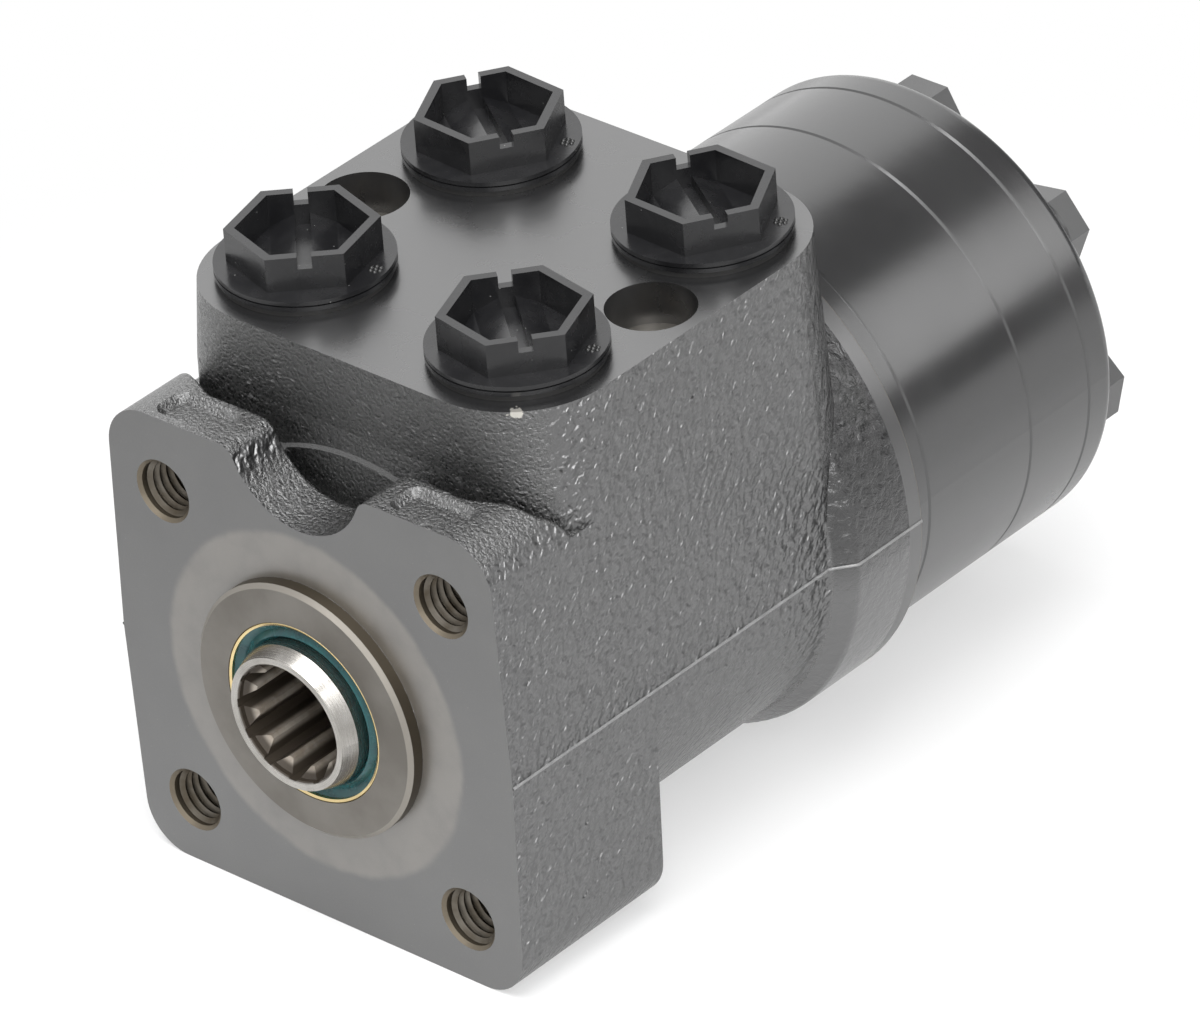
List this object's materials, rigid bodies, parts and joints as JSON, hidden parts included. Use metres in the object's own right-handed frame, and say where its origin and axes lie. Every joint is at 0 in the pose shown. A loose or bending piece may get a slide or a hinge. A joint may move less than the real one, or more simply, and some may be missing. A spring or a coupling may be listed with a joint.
{
  "type": "orbital steering unit",
  "caption": "Hydrostatic steering unit: cast body with plugged ports, splined input spool in a sleeve, and an orbiting gear set clamped behind by a screwed cover.",
  "frame": {"origin": "centre of the mounting flange's face, on the spool's axis", "axes": "+Y along the spool's axis into the body, +Z towards the port face, +X to the right seen from the flange"},
  "size_m": [0.0884, 0.1626, 0.1105],
  "materials": {
    "cast_paint": "satin black paint on a rough casting",
    "stack_paint": "satin black paint on turned steel",
    "screw_paint": "satin black paint",
    "turned_steel": "fine turned and ground steel",
    "hardened_steel": "ground hardened steel",
    "spring_steel": "blued spring steel",
    "seal_rubber": "matte black rubber",
    "glide_plastic": "filled fluoroplastic",
    "yellow_plating": "yellow chromate plating",
    "teal_rubber": "oiled teal rubber",
    "plug_plastic": "glossy black moulded plastic"
  },
  "bodies": {
    "housing": {"housing": "cast_paint", "distribution_plate": "stack_paint", "gear_ring": "stack_paint", "end_plate": "stack_paint", "end_cover": "stack_paint", "cover_screws": "screw_paint", "cover_washers": "screw_paint", "housing_seal": "seal_rubber", "ring_seal": "seal_rubber", "end_plate_seal": "seal_rubber", "cover_seal": "seal_rubber", "front_race": "hardened_steel", "glide_ring": "glide_plastic", "seal_case": "yellow_plating", "seal_lip": "teal_rubber", "check_bushing": "hardened_steel"},
    "sleeve": {"sleeve": "turned_steel", "cross_pin": "hardened_steel", "spring_keeper": "hardened_steel", "flat_springs": "spring_steel", "bent_springs": "spring_steel", "rear_race": "hardened_steel"},
    "spool": {"spool": "turned_steel"},
    "needle_cage": {"needle_cage": "hardened_steel", "needles": "hardened_steel"},
    "drive_spacer": {"drive_spacer": "hardened_steel"},
    "rotor": {"rotor": "hardened_steel"},
    "cardan_shaft": {"cardan_shaft": "hardened_steel"},
    "check_ball": {"check_ball": "hardened_steel"},
    "plug_front_left": {"plug_front_left": "plug_plastic", "plug_front_left_seal": "seal_rubber"},
    "plug_front_right": {"plug_front_right": "plug_plastic", "plug_front_right_seal": "seal_rubber"},
    "plug_back_left": {"plug_back_left": "plug_plastic", "plug_back_left_seal": "seal_rubber"},
    "plug_back_right": {"plug_back_right": "plug_plastic", "plug_back_right_seal": "seal_rubber"}
  },
  "joints": [
    {"name": "sleeve_turn", "type": "hinge", "parent": "housing", "child": "sleeve", "pos_m": [0, 0.056, 0], "axis": [0, 1, 0], "continuous": true},
    {"name": "spool_deflect", "type": "hinge", "parent": "sleeve", "child": "spool", "pos_m": [0, 0.056, 0], "axis": [0, 1, 0], "range_deg": [-10, 10], "stiffness_Nm_per_rad": 10, "deforming": ["bent_springs", "flat_springs"]},
    {"name": "needle_turn", "type": "hinge", "parent": "housing", "child": "needle_cage", "pos_m": [0, 0.0144, 0], "axis": [0, 1, 0], "continuous": true},
    {"name": "rotor_orbit", "type": "hinge", "parent": "housing", "child": "drive_spacer", "pos_m": [0, 0.11525, 0], "axis": [0, 1, 0], "continuous": true},
    {"name": "rotor_spin", "type": "hinge", "parent": "drive_spacer", "child": "rotor", "pos_m": [0, 0.11525, 0.0024], "axis": [0, 1, 0], "continuous": true},
    {"name": "cardan_spin", "type": "hinge", "parent": "drive_spacer", "child": "cardan_shaft", "pos_m": [0, 0.056, 0], "axis": [0, 0.9992, 0.0405], "continuous": true},
    {"name": "check_ball_lift", "type": "slide", "parent": "housing", "child": "check_ball", "axis": [0, 0, 1], "range_m": [0, 0.0024]},
    {"name": "plug_front_left_unscrew", "type": "slide", "parent": "housing", "child": "plug_front_left", "axis": [0, 0, 1], "range_m": [0, 0.03]},
    {"name": "plug_front_right_unscrew", "type": "slide", "parent": "housing", "child": "plug_front_right", "axis": [0, 0, 1], "range_m": [0, 0.03]},
    {"name": "plug_back_left_unscrew", "type": "slide", "parent": "housing", "child": "plug_back_left", "axis": [0, 0, 1], "range_m": [0, 0.03]},
    {"name": "plug_back_right_unscrew", "type": "slide", "parent": "housing", "child": "plug_back_right", "axis": [0, 0, 1], "range_m": [0, 0.03]}
  ],
  "couplings": [
    {"joint": "needle_turn", "follows": "sleeve_turn", "ratio": 0.5},
    {"joint": "rotor_orbit", "follows": "sleeve_turn", "ratio": -6},
    {"joint": "rotor_spin", "follows": "sleeve_turn", "ratio": 7},
    {"joint": "cardan_spin", "follows": "sleeve_turn", "ratio": 7}
  ]
}
